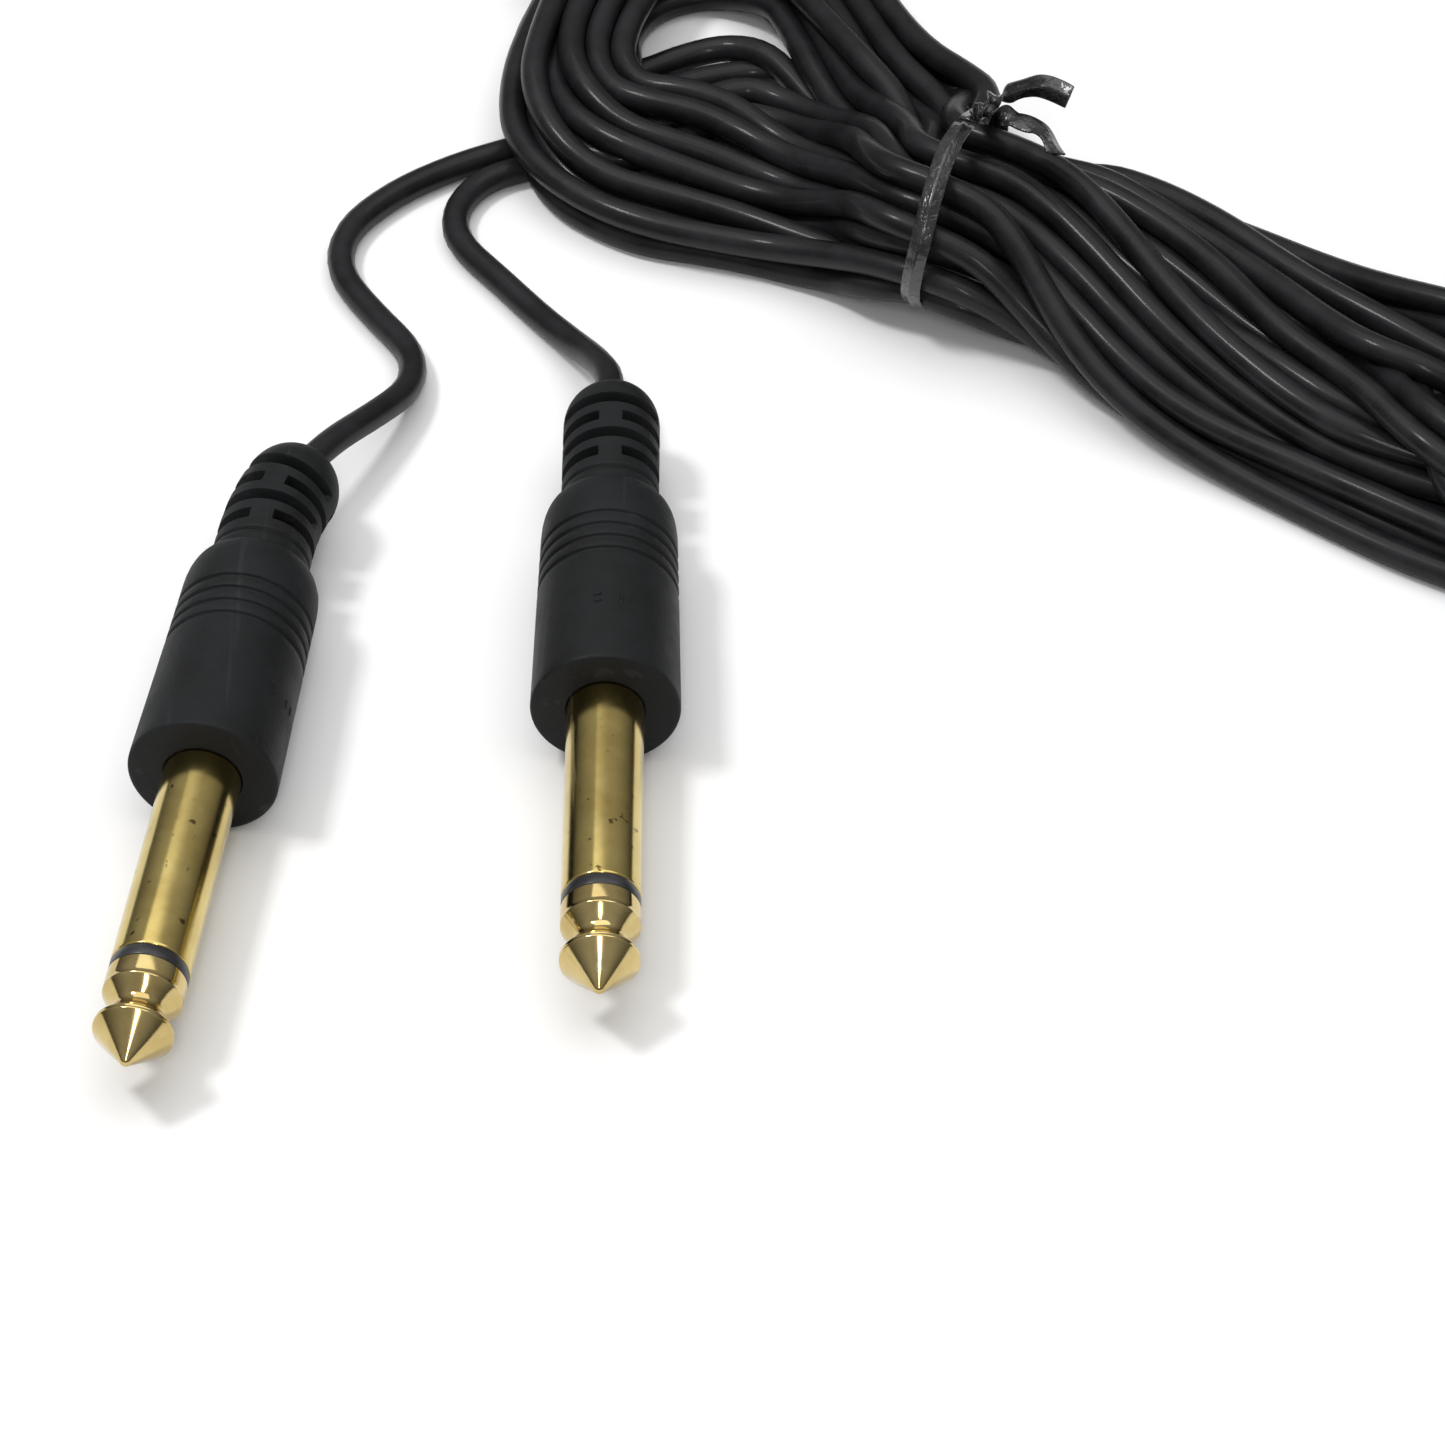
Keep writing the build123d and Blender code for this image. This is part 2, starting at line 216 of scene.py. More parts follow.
def stack_height(edges, column, layer):
    """Height of a strand in a band, where narrow bands ride up into more layers."""
    width = math.dist(*edges)
    pitch = width / COLUMNS
    lift = math.sqrt(max(0.0, CORD ** 2 - pitch ** 2)) if pitch < CORD else 0.0
    return CORD / 2 + (column % 2) * lift + layer * (LAYER_PITCH * CORD + lift)


slots = oval_slots(2 * TURNS)
wander = np.random.default_rng(11)


def front_pass(column, layer):
    """Place in the tie of the arm that runs from the left loop's front to the right loop."""
    return slots[column][layer]


def rear_pass(column, layer):
    """Place in the tie of the arm that comes back, on the tie's other half."""
    spot = slots[column][1 - layer]
    return (-spot[0], -spot[1])


def twisted(spot, edges, twist, height):
    """Point of the twisted bundle beyond the tie."""
    angle = math.radians(twist)
    side = spot[0] * math.cos(angle) - spot[1] * math.sin(angle)
    up = spot[0] * math.sin(angle) + spot[1] * math.cos(angle)
    parted = min(1.0, twist / PARTED_TWIST)
    opened = math.copysign(0.12 + 0.88 * abs(side), side) * parted + side * (1 - parted)
    width = math.dist(*edges)
    plan = across(edges, 0.5 + 0.5 * opened * (1 - CORD / width))
    return (*plan, CORD / 2 + (height - CORD) * (0.5 + 0.5 * up))


def one_turn(column, layer, next_column, next_layer, first, last, loose):
    """Control points of one strand of one turn: front band, tie, right loop, tie, left loop."""
    points = []
    share = (column + 0.5) / COLUMNS
    sway = wander.uniform(-SWAY, SWAY, 12)
    front = front_pass(column, layer)
    rear = rear_pass(column, layer)
    for number in range(2, -1, -1):
        edges = LEFT_LOOP[number]
        plan = across(edges, share + sway[number])
        level = stack_height(edges, column, layer)
        if number == 0:
            level = 0.5 * (level + in_tie(front, 0)[2])
        points.append((*plan, level))
    points += [in_tie(front, along) for along in (-0.005, 0.0, 0.005)]
    points += [twisted(front, edges[:2], edges[2], edges[3]) for edges in RIGHT_BUNDLE]
    # round the far end of the right loop, from the arm that this strand is in to the other arm
    side = [s[0] * math.cos(ARM_TURN) - s[1] * math.sin(ARM_TURN) for s in (front, rear)]
    in_front_arm = side[0] < side[1]
    far = RIGHT_END if in_front_arm else RIGHT_END[::-1]
    reach = 1 - abs(side[0])
    for number, edges in enumerate(far):
        part = number / (len(far) - 1)
        split = 0.06 * math.sin(math.pi * part) * (1 if in_front_arm else -1)
        level = (1 - part) * (0.5 * layer) + part * (0.5 + 0.5 * (1 - layer))
        plan = across(edges, min(0.95, max(0.05, reach + split + sway[3 + number % 4])))
        points.append((*plan, CORD / 2 + RIGHT_END_PILE * level))
    points += [twisted(rear, edges[:2], edges[2], edges[3]) for edges in RIGHT_BUNDLE[::-1]]
    points += [in_tie(rear, along) for along in (0.005, 0.0, -0.005)]
    # back along the left loop's rear and round its left end
    rear_layer = 1 - layer
    if first:
        inward = EARLY_RETURN_APART * (1 if column % 2 else -1)
        for k, (x, y) in enumerate(EARLY_RETURN):
            points.append((x - inward * (k < 7), y + inward, CORD / 2 + EARLY_RETURN_LIFT * (k < 2)))
        return points
    last_station = 10 if last else 2
    for number in range(len(LEFT_LOOP) - 1, last_station, -1):
        edges = LEFT_LOOP[number]
        part = min(1.0, max(0.0, (12 - number) / 7))
        here = (1 - part) * column + part * next_column
        loosened = LOOSE_SHARE * math.exp(-((number - LOOSE_MIDDLE) / LOOSE_SPREAD) ** 2) if loose else 0.0
        plan = across(edges, (here + 0.5) / COLUMNS + sway[7 + number % 5] + loosened)
        level = stack_height(edges, round(here), rear_layer if part < 0.5 else next_layer)
        if number == len(LEFT_LOOP) - 1:
            level = 0.5 * (level + in_tie(rear, 0)[2])
        points.append((*plan, level))
    return points


def spaced(points):
    """The same points without those that crowd the one before."""
    kept = [points[0]]
    for point in points[1:]:
        if math.dist(point, kept[-1]) > LEAST_POINT_GAP:
            kept.append(point)
    return kept


def wound(strand):
    """Control points of all turns of one strand of the doubled cord."""
    points = []
    order = [(2 * (3 - turn // 2) + 1 - strand, turn % 2) for turn in range(TURNS)]
    for turn, (column, layer) in enumerate(order):
        last = turn == TURNS - 1
        following = order[turn] if last else order[turn + 1]
        points += one_turn(column, layer, *following, turn == 0, last, turn == LOOSE_TURN)
    return spaced(points)


outward = smooth_line([LEAD_A[-1], (0.0130, 0.0806, CORD / 2), (0.0190, 0.0830, CORD / 2), *wound(0),
                       *BIGHT[:4]], STEP)
homeward = smooth_line([LEAD_B[-1], (0.0140, 0.0778, CORD / 2), (0.0195, 0.0800, CORD / 2), *wound(1),
                        *BIGHT[:2:-1]], STEP)
leads = [smooth_line(points, STEP) for points in (LEAD_A, LEAD_B)]


def near_pairs(points, reach, skip):
    """Pairs of points closer than reach that aren't neighbours on the cord."""
    first, second = [], []
    for start in range(0, len(points), 400):
        block = points[start:start + 400]
        apart = ((block[:, None] - points[None]) ** 2).sum(2)
        i, j = np.nonzero(apart < reach ** 2)
        i = i + start
        keep = j > i + skip
        first.append(i[keep])
        second.append(j[keep])
    return np.concatenate(first), np.concatenate(second)


def settle(line, still, steps):
    """Let the wound cord come to rest: strands push each other apart, sink and stay smooth."""
    start = line.copy()
    place = line.copy()
    near_tie = np.abs((start[:, :2] - WAIST) @ WAIST_ALONG) < 0.0022
    near_tie &= np.linalg.norm(start[:, :2] - WAIST, axis=1) < 0.016
    for step in range(steps):
        if step % 10 == 0:
            i, j = near_pairs(place, CORD * LOOK_AROUND, SAME_STRAND)
        if step < steps - LEVEL_STEPS:
            place[:, 2] -= CORD * SINK
        for _ in range(3):
            gap = place[i] - place[j]
            apart = np.maximum(np.linalg.norm(gap, axis=1), 1e-7)
            push = gap * (0.5 * np.maximum(0.0, CORD * LEAST_APART - apart) / apart)[:, None]
            move = np.zeros_like(place)
            count = np.ones(len(place))
            for axis in range(3):
                move[:, axis] += np.bincount(i, push[:, axis], len(place))
                move[:, axis] -= np.bincount(j, push[:, axis], len(place))
            touching = (apart < CORD * LEAST_APART).astype(float)
            count += np.bincount(i, touching, len(place)) + np.bincount(j, touching, len(place))
            place += move * (1.6 / count)[:, None]
        shift = place - start
        for _ in range(2):
            shift[1:-1] += 0.5 * (0.5 * (shift[:-2] + shift[2:]) - shift[1:-1])
        shift[:, :2] *= 0.992
        place = start + shift
        place[:, 2] = np.maximum(place[:, 2], CORD / 2)
        wide = (place[near_tie, :2] - WAIST) @ WAIST_ACROSS / (WAIST_WIDE - CORD / 2)
        high = (place[near_tie, 2] - WAIST_HIGH) / (WAIST_HIGH - CORD / 2)
        out = np.maximum(1.0, np.hypot(wide, high))
        inward = (wide / out - wide) * (WAIST_WIDE - CORD / 2)
        place[near_tie, :2] += inward[:, None] * WAIST_ACROSS
        place[near_tie, 2] = WAIST_HIGH + high / out * (WAIST_HIGH - CORD / 2)
        place[still] = start[still]
    return place


whole = np.concatenate([leads[0][:-1], outward, homeward[::-1][1:], leads[1][::-1][1:]])
still = np.zeros(len(whole), bool)
still[:len(leads[0])] = True
still[-len(leads[1]):] = True
settled = settle(whole, still, SETTLE_STEPS)
coil = settled[len(leads[0]):len(whole) - len(leads[1])][1:-1:POINTS_APART]

cord_line = bpy.data.curves.new("cord", "CURVE")
cord_line.dimensions = "3D"
# Bevel depth 1, so that each point's radius is the cord's real radius
cord_line.bevel_depth = 1.0
cord_line.bevel_resolution = 4
cord_line.resolution_u = 4
spline = cord_line.splines.new("NURBS")
route = [*LEAD_A, *[tuple(p) for p in coil], *LEAD_B[::-1]]
spline.points.add(len(route) - 1)
for point, place in zip(spline.points, route):
    point.co = (*place, 1)
    point.radius = CORD / 2
spline.order_u = 3
spline.use_endpoint_u = True
cord = bpy.data.objects.new("cord", cord_line)
link(cord)
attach(cord, "cord")
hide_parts("hank", "lead_a", "lead_b")


def material_with(name, colour, roughness, metal=0.0):
    """New material with its shader's plain values set, and its tree and shader to build on."""
    material = bpy.data.materials.new(name)
    material.use_nodes = True
    tree = material.node_tree
    shader = tree.nodes["Principled BSDF"]
    shader.inputs["Base Color"].default_value = (*colour, 1)
    shader.inputs["Roughness"].default_value = roughness
    shader.inputs["Metallic"].default_value = metal
    return material, tree, shader


def node(tree, kind, settings=None, **links):
    """New shader node: settings are values by socket or property, links are its connections."""
    made = tree.nodes.new(kind)
    for key, value in (settings or {}).items():
        if key in made.inputs:
            made.inputs[key].default_value = value
        else:
            setattr(made, key, value)
    for key, socket in links.items():
        tree.links.new(socket, made.inputs[key.replace("_", " ")])
    return made


def group_input(tree, name, kind, default):
    """One named input of a node group."""
    socket = tree.interface.new_socket(name, in_out="INPUT", socket_type=kind)
    if default is not None:
        socket.default_value = default


# Handling marks: a mask of soft smears and a few thin hairlines, for any worn surface
wear_group = bpy.data.node_groups.new("handling_marks", "ShaderNodeTree")
group_input(wear_group, "Place", "NodeSocketVector", None)
group_input(wear_group, "Smear Scale", "NodeSocketFloat", 160.0)
group_input(wear_group, "Line Scale", "NodeSocketFloat", 420.0)
wear_group.interface.new_socket("Smears", in_out="OUTPUT", socket_type="NodeSocketFloat")
wear_group.interface.new_socket("Lines", in_out="OUTPUT", socket_type="NodeSocketFloat")
group_in = wear_group.nodes.new("NodeGroupInput")
group_out = wear_group.nodes.new("NodeGroupOutput")
smear = node(wear_group, "ShaderNodeTexNoise", {"Detail": 5.0, "Roughness": 0.62},
             Vector=group_in.outputs["Place"], Scale=group_in.outputs["Smear Scale"])
smear_range = node(wear_group, "ShaderNodeMapRange", {"From Min": 0.38, "From Max": 0.68},
                   Value=smear.outputs["Fac"])
stretch = node(wear_group, "ShaderNodeMapping", {"Scale": (1.0, 0.06, 1.0)},
               Vector=group_in.outputs["Place"])
hair = node(wear_group, "ShaderNodeTexNoise", {"Detail": 3.0, "Distortion": 0.6},
            Vector=stretch.outputs["Vector"], Scale=group_in.outputs["Line Scale"])
hair_range = node(wear_group, "ShaderNodeMapRange", {"From Min": 0.62, "From Max": 0.72},
                  Value=hair.outputs["Fac"])
wear_group.links.new(smear_range.outputs["Result"], group_out.inputs["Smears"])
wear_group.links.new(hair_range.outputs["Result"], group_out.inputs["Lines"])


def wear(tree, smear_scale, line_scale):
    """Handling marks placed in a material, read in the object's own space."""
    place = tree.nodes.new("ShaderNodeTexCoord")
    marks = tree.nodes.new("ShaderNodeGroup")
    marks.node_tree = wear_group
    marks.inputs["Smear Scale"].default_value = smear_scale
    marks.inputs["Line Scale"].default_value = line_scale
    tree.links.new(place.outputs["Object"], marks.inputs["Place"])
    return place, marks


def mix(tree, mask, low, high):
    """Colour between two by a mask. The lower one is a plain colour or another mix."""
    blend = node(tree, "ShaderNodeMix", {"data_type": "RGBA"})
    tree.links.new(mask, blend.inputs[0])
    if isinstance(low, tuple):
        blend.inputs[6].default_value = (*low, 1)
    else:
        tree.links.new(low, blend.inputs[6])
    blend.inputs[7].default_value = (*high, 1)
    return blend.outputs[2]


def levels(tree, mask, low, high):
    """Value between two numbers by a mask."""
    made = node(tree, "ShaderNodeMapRange", {"To Min": low, "To Max": high}, Value=mask)
    return made.outputs["Result"]


def noise(tree, place, scale, detail):
    """Cloudy noise of one size in the object's own space."""
    cloudy = node(tree, "ShaderNodeTexNoise", {"Scale": scale, "Detail": detail},
                  Vector=place.outputs["Object"])
    return cloudy.outputs["Fac"]


def bumped(tree, shader, height, distance, strength=1.0):
    """Fine relief on a surface from a height pattern."""
    bump = node(tree, "ShaderNodeBump", {"Distance": distance, "Strength": strength}, Height=height)
    tree.links.new(bump.outputs["Normal"], shader.inputs["Normal"])


def jacket_finish():
    """Extruded black PVC: glossy, faintly uneven, with handling smears."""
    material, tree, shader = material_with("cord_jacket", (0.006, 0.006, 0.0065), 0.4)
    shader.inputs["Coat Weight"].default_value = 0.13
    shader.inputs["Coat Roughness"].default_value = 0.12
    shader.inputs["Specular IOR Level"].default_value = 0.16
    place, marks = wear(tree, 190.0, 900.0)
    colour = mix(tree, marks.outputs["Smears"], (0.0075, 0.0075, 0.0085), (0.017, 0.017, 0.019))
    tree.links.new(colour, shader.inputs["Base Color"])
    tree.links.new(levels(tree, marks.outputs["Smears"], 0.36, 0.52), shader.inputs["Roughness"])
    bumped(tree, shader, noise(tree, place, 1500.0, 3.0), 0.00002)
    return material


jacket = jacket_finish()
cord_line.materials.append(jacket)


# ---------------------------------------------------------------------------------------------
# Twist tie: a flat glossy black ribbon with a steel wire along its middle. It is wrapped once
# round the waist of the hank, its ends are twisted together on top and left as two short tails.
RIBBON_HALF = 0.00095
RIBBON_EDGE = 0.00012
RIBBON_RIDGE = 0.00032
# The wrap starts beside the knot and stops just short of a whole turn
WRAP_START = math.radians(78)
WRAP_SHARE = 0.985
WRAP_STEPS = 120
# Each tail loosens over this share of its length, counted from the knot
KNOT_SHARE = 0.42
TAIL_STEP = 0.0001


def ribbon(name, middle, wide, out):
    """Closed strip along a path: thin edges and a ridge over the wire in the middle."""
    outline = [(-1.0, 0.0), (-0.93, RIBBON_EDGE), (-0.36, RIBBON_EDGE), (-0.2, RIBBON_RIDGE * 0.8),
               (0.0, RIBBON_RIDGE), (0.2, RIBBON_RIDGE * 0.8), (0.36, RIBBON_EDGE), (0.93, RIBBON_EDGE),
               (1.0, 0.0), (0.93, -RIBBON_EDGE), (0.36, -RIBBON_EDGE), (0.0, -RIBBON_RIDGE * 0.6),
               (-0.36, -RIBBON_EDGE), (-0.93, -RIBBON_EDGE)]
    shape = bmesh.new()
    rings = []
    for centre, side, up in zip(middle, wide, out):
        rings.append([shape.verts.new(Vector(centre) + Vector(side) * a + Vector(up).normalized() * b)
                      for a, b in outline])
    for ring, following in zip(rings, rings[1:]):
        for k in range(len(outline)):
            m = (k + 1) % len(outline)
            shape.faces.new((ring[k], ring[m], following[m], following[k]))
    shape.faces.new(rings[0])
    shape.faces.new(rings[-1][::-1])
    bmesh.ops.recalc_face_normals(shape, faces=shape.faces)
    mesh = bpy.data.meshes.new(name)
    shape.to_mesh(mesh)
    shape.free()
    for face in mesh.polygons:
        face.use_smooth = True
    made = bpy.data.objects.new(name, mesh)
    link(made)
    return made


def tie_ring():
    """The wrap round the waist, slightly uneven, from the knot all the way round and back."""
    middle, wide, out = [], [], []
    along = Vector((*WAIST_ALONG, 0))
    across_waist = Vector((*WAIST_ACROSS, 0))
    skin = RIBBON_RIDGE * 0.8
    for k in range(WRAP_STEPS + 1):
        angle = WRAP_START + 2 * math.pi * k / WRAP_STEPS * WRAP_SHARE
        radial = across_waist * math.cos(angle) + Vector((0, 0, 1)) * math.sin(angle)
        place = Vector((*WAIST, WAIST_HIGH + skin))
        place += across_waist * (WAIST_WIDE + skin) * math.cos(angle)
        place += Vector((0, 0, WAIST_HIGH)) * math.sin(angle)
        place += along * (0.0003 * math.sin(3 * angle) + 0.0005 * math.cos(angle))
        twist = 0.10 * math.sin(2 * angle + 0.7)
        middle.append(place)
        wide.append((along * math.cos(twist) + radial * math.sin(twist)) * RIBBON_HALF)
        out.append(radial * math.cos(twist) - along * math.sin(twist))
    return ribbon("tie_wrap", middle, wide, out)


KNOT = Vector((0.0478, 0.0642, 0.0166))
TAILS = {
    "tie_tail_front": [(0.0, 0.0, 0.0), (0.0011, 0.0002, 0.0006), (0.0026, -0.0005, 0.0004),
                       (0.0046, -0.0014, 0.0003), (0.0064, -0.0026, 0.0003), (0.0071, -0.0050, -0.0002)],
    "tie_tail_rear": [(0.0, 0.0, 0.0), (0.0009, 0.0009, 0.0004), (0.0026, 0.0016, 0.0009),
                      (0.0044, 0.0024, 0.0012), (0.0066, 0.0031, 0.0011), (0.0086, 0.0016, 0.0008)],
}


def tie_tail(name, points, turns, phase):
    """One tail: twisted tight at the knot, then opening into a crumpled flat end."""
    line = smooth_line([KNOT + Vector(p) for p in points], TAIL_STEP)
    middle, wide, out = [], [], []
    for k, place in enumerate(line):
        part = k / (len(line) - 1)
        ahead = Vector(line[min(k + 1, len(line) - 1)] - line[max(k - 1, 0)]).normalized()
        level = ahead.cross(Vector((0, 0, 1))).normalized()
        above = level.cross(ahead)
        tight = max(0.0, 1 - part / KNOT_SHARE)
        crumple = 0.35 * math.sin(9 * part) * (1 - tight)
        angle = phase + turns * 2 * math.pi * (1 - tight ** 1.5) + crumple
        side = level * math.cos(angle) + above * math.sin(angle)
        coil = 0.00028 * tight
        middle.append(Vector(place) + side * coil)
        wide.append(side * RIBBON_HALF * (0.72 + 0.42 * (1 - tight)))
        out.append(side.cross(ahead))
    return ribbon(name, middle, wide, out)


def film_finish():
    """Glossy black PVC film with creases that catch the light."""
    material, tree, shader = material_with("tie_film", (0.012, 0.012, 0.013), 0.25)
    shader.inputs["Coat Weight"].default_value = 0.5
    shader.inputs["Coat Roughness"].default_value = 0.12
    place, marks = wear(tree, 600.0, 1600.0)
    colour = mix(tree, marks.outputs["Smears"], (0.008, 0.008, 0.009), (0.035, 0.035, 0.037))
    tree.links.new(colour, shader.inputs["Base Color"])
    tree.links.new(levels(tree, marks.outputs["Lines"], 0.2, 0.45), shader.inputs["Roughness"])
    crease = node(tree, "ShaderNodeTexNoise", {"Scale": 900.0, "Detail": 2.0, "Distortion": 1.2},
                  Vector=place.outputs["Object"])
    bumped(tree, shader, crease.outputs["Fac"], 0.0002)
    return material


film = film_finish()
tie_pieces = [tie_ring(), tie_tail("tie_tail_front", TAILS["tie_tail_front"], 1.5, 0.3),
              tie_tail("tie_tail_rear", TAILS["tie_tail_rear"], 1.5, 1.9)]
for piece in tie_pieces:
    piece.data.materials.append(film)
    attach(piece, "cord")
    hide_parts("tie_ribbon", "tie_wire")


# ---------------------------------------------------------------------------------------------
# Plug contacts: a turned brass tip with a pointed nose and a neck, a black ring, and a turned
# sleeve, all 6.35 mm across and plated gold. They are turned parts, so each one is a lathe form.
CONTACT = 0.003175
ROD = 0.00125
TUBE = 0.00195
SHANK = 0.0027
FLANGE = 0.0040
# Middle of the gripped end of the cord, behind the body's front face
CORD_STUB_MIDDLE = 0.0185
HALF_PI = math.pi / 2


def axis_frame(plug):
    """Where a plug's own frame lies: nose towards -Y, front face of its body at y = 0."""
    low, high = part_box(f"{plug}_cord_jacket_end")
    on_axis = (low + high) / 2
    pivot = Vector(next(j["pos_m"] for j in frame["joints"] if j["child"] == plug))
    back = (pivot - on_axis).normalized()
    back.z = 0
    back.normalize()
    face = on_axis - back * CORD_STUB_MIDDLE
    turn = math.atan2(-back.x, back.y)
    return Matrix.Translation((face.x, face.y, pivot.z)) @ Matrix.Rotation(turn, 4, "Z")


def arc(centre, radius, start, end, steps):
    """Points of a round stretch of a turned outline, angles in degrees from the tail direction."""
    points = []
    for k in range(steps + 1):
        angle = math.radians(start + (end - start) * k / steps)
        points.append((centre[0] + radius * math.cos(angle), centre[1] + radius * math.sin(angle)))
    return points


def turned(name, outline, place, segments=96, wobble=None):
    """Closed lathe form about Y from (distance behind the face, radius) points."""
    shape = bmesh.new()
    rings = []
    for at, radius in outline:
        if radius < 1e-7:
            rings.append([shape.verts.new((0, at, 0))])
            continue
        ring = []
        for k in range(segments):
            angle = 2 * math.pi * k / segments
            r = radius + (wobble(at, angle) if wobble else 0.0)
            ring.append(shape.verts.new((r * math.sin(angle), at, r * math.cos(angle))))
        rings.append(ring)
    pairs = list(zip(rings, rings[1:]))
    if len(rings[0]) > 1:
        pairs.append((rings[-1], rings[0]))
    for ring, following in pairs:
        for k in range(segments):
            m = (k + 1) % segments
            if len(ring) == 1:
                shape.faces.new((ring[0], following[m], following[k]))
            elif len(following) == 1:
                shape.faces.new((ring[k], ring[m], following[0]))
            else:
                shape.faces.new((ring[k], ring[m], following[m], following[k]))
    bmesh.ops.remove_doubles(shape, verts=shape.verts, dist=1e-8)
    bmesh.ops.recalc_face_normals(shape, faces=shape.faces)
    mesh = bpy.data.meshes.new(name)
    shape.to_mesh(mesh)
    shape.free()
    mesh.transform(place)
    mesh.shade_smooth()
    mesh.set_sharp_from_angle(angle=math.radians(38))
    made = bpy.data.objects.new(name, mesh)
    link(made)
    return made


def tip_outline():
    """From the nose back over the cone, the round shoulder, the neck and the collar."""
    points = [(-0.0305, 0.0)]
    points += arc((-0.02994, 0.0), 0.00056, 165, 118, 6)
    points += arc((-0.02735, 0.00298), 0.00020, 138, 80, 5)
    points += [(-0.02710, CONTACT - 0.00002)]
    points += arc((-0.02710, 0.00298), 0.00019, 80, 10, 5)
    points += [(-0.02672, 0.00278), (-0.02635, 0.00252)]
    points += arc((-0.02535, 0.00305), 0.00103, 212, 298, 14)
    points += [(-0.02445, 0.00262), (-0.02410, 0.00288)]
    points += arc((-0.02372, 0.00297), 0.00020, 130, 60, 4)
    points += [(-0.0233, CONTACT), (-0.02202, CONTACT), (-0.02197, 0.00311), (-0.02197, ROD)]
    points += [(0.0096, ROD), (0.0096, 0.0)]
    return points


def ring_outline():
    """Black ring in one piece with the tube round the rod; a fine gap shows at each edge."""
    return [(-0.02193, ROD), (-0.02193, 0.00306), (-0.02188, 0.00313), (-0.02180, 0.00316),
            (-0.02096, 0.00316), (-0.02088, 0.00313), (-0.02083, 0.00306), (-0.02083, TUBE),
            (0.0065, TUBE), (0.0065, ROD)]


def sleeve_outline():
    """Sleeve: rolled front edge, plain barrel, and the turned-down shank with its flange."""
    return [(-0.0208, TUBE), (-0.0208, 0.00307), (-0.02077, 0.00313), (-0.02070, 0.00317),
            (-0.02055, CONTACT), (-0.0150, CONTACT), (-0.0100, CONTACT), (-0.0050, CONTACT),
            (0.0, CONTACT), (0.0, SHANK), (0.0016, SHANK), (0.0016, FLANGE), (0.0030, FLANGE),
            (0.0030, SHANK), (0.0065, SHANK), (0.0065, TUBE)]


# Colour of a tarnish spot
TARNISH = (0.16, 0.10, 0.035)


def plating_finish(name, pale, deep, rough, spots):
    """Thin gold plating on turned brass, gently uneven, with small tarnish spots and hairlines."""
    material, tree, shader = material_with(name, pale, rough, 1.0)
    place, marks = wear(tree, 210.0, 700.0)
    spot = node(tree, "ShaderNodeMapRange", {"From Min": spots, "From Max": spots + 0.05},
                Value=noise(tree, place, 1150.0, 2.0))
    gold = mix(tree, marks.outputs["Smears"], pale, deep)
    tree.links.new(mix(tree, spot.outputs["Result"], gold, TARNISH), shader.inputs["Base Color"])
    tree.links.new(levels(tree, marks.outputs["Lines"], rough, rough + 0.14), shader.inputs["Roughness"])
    bumped(tree, shader, noise(tree, place, 260.0, 2.0), 0.00002, 0.5)
    return material


tip_gold = plating_finish("tip_gold", (0.62, 0.49, 0.22), (0.48, 0.35, 0.13), 0.12, 0.80)
sleeve_gold = plating_finish("sleeve_gold", (0.62, 0.49, 0.18), (0.50, 0.375, 0.12), 0.17, 0.68)


def ring_finish():
    """Black nylon ring, satin, with fine lathe marks."""
    material, tree, shader = material_with("ring_nylon", (0.02, 0.02, 0.022), 0.4)
    place, marks = wear(tree, 420.0, 1500.0)
    colour = mix(tree, marks.outputs["Smears"], (0.012, 0.012, 0.014), (0.04, 0.04, 0.042))
    tree.links.new(colour, shader.inputs["Base Color"])
    tree.links.new(levels(tree, marks.outputs["Lines"], 0.35, 0.55), shader.inputs["Roughness"])
    return material


nylon = ring_finish()
places = {plug: axis_frame(plug) for plug in ("plug_a", "plug_b")}
CONTACTS = (("tip_contact", tip_outline, tip_gold, "tip_gold"),
            ("tip_insulator", ring_outline, nylon, "insulator"),
            ("sleeve_contact", sleeve_outline, sleeve_gold, "sleeve_gold"))
for plug, place in places.items():
    for piece_name, outline, finish, slot_name in CONTACTS:
        piece = turned(f"{plug}_{piece_name}_turned", outline(), place)
        piece.data.materials.append(finish)
        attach(piece, plug)
        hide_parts(f"{plug}_{piece_name}")


# ---------------------------------------------------------------------------------------------
# Plug bodies: soft black PVC moulded over the contact in one shot, tapering to a round shoulder
# and a short neck, with four shallow rings near the back and a small raised mark on one side.
FACE_R = 0.00617
SHOULDER_AT = 0.0194
SHOULDER_R = 0.0057
NECK_AT = 0.0235
NECK_R = 0.0042
BODY_END = 0.0248
RING_GROOVES = (0.0131, 0.0146, 0.0161, 0.0176)
# Section of one groove: distance from its middle, depth
GROOVE_PROFILE = ((-0.00042, 0.0), (-0.00030, 0.00003), (-0.00017, 0.00024), (0.0, 0.00029),
                  (0.00017, 0.00024), (0.00030, 0.00003), (0.00042, 0.0))
BARREL_STEP = 0.0012
# Room inside the body for the inner moulding, and the hole for the cord behind it
CAVITY_START = 0.0009
CAVITY_END = 0.0175
CAVITY_R = 0.0046
CORD_HOLE_R = 0.00127


def body_radius(at):
    """Radius of the tapered barrel, without its grooves."""
    return FACE_R - (FACE_R - SHOULDER_R) * at / SHOULDER_AT


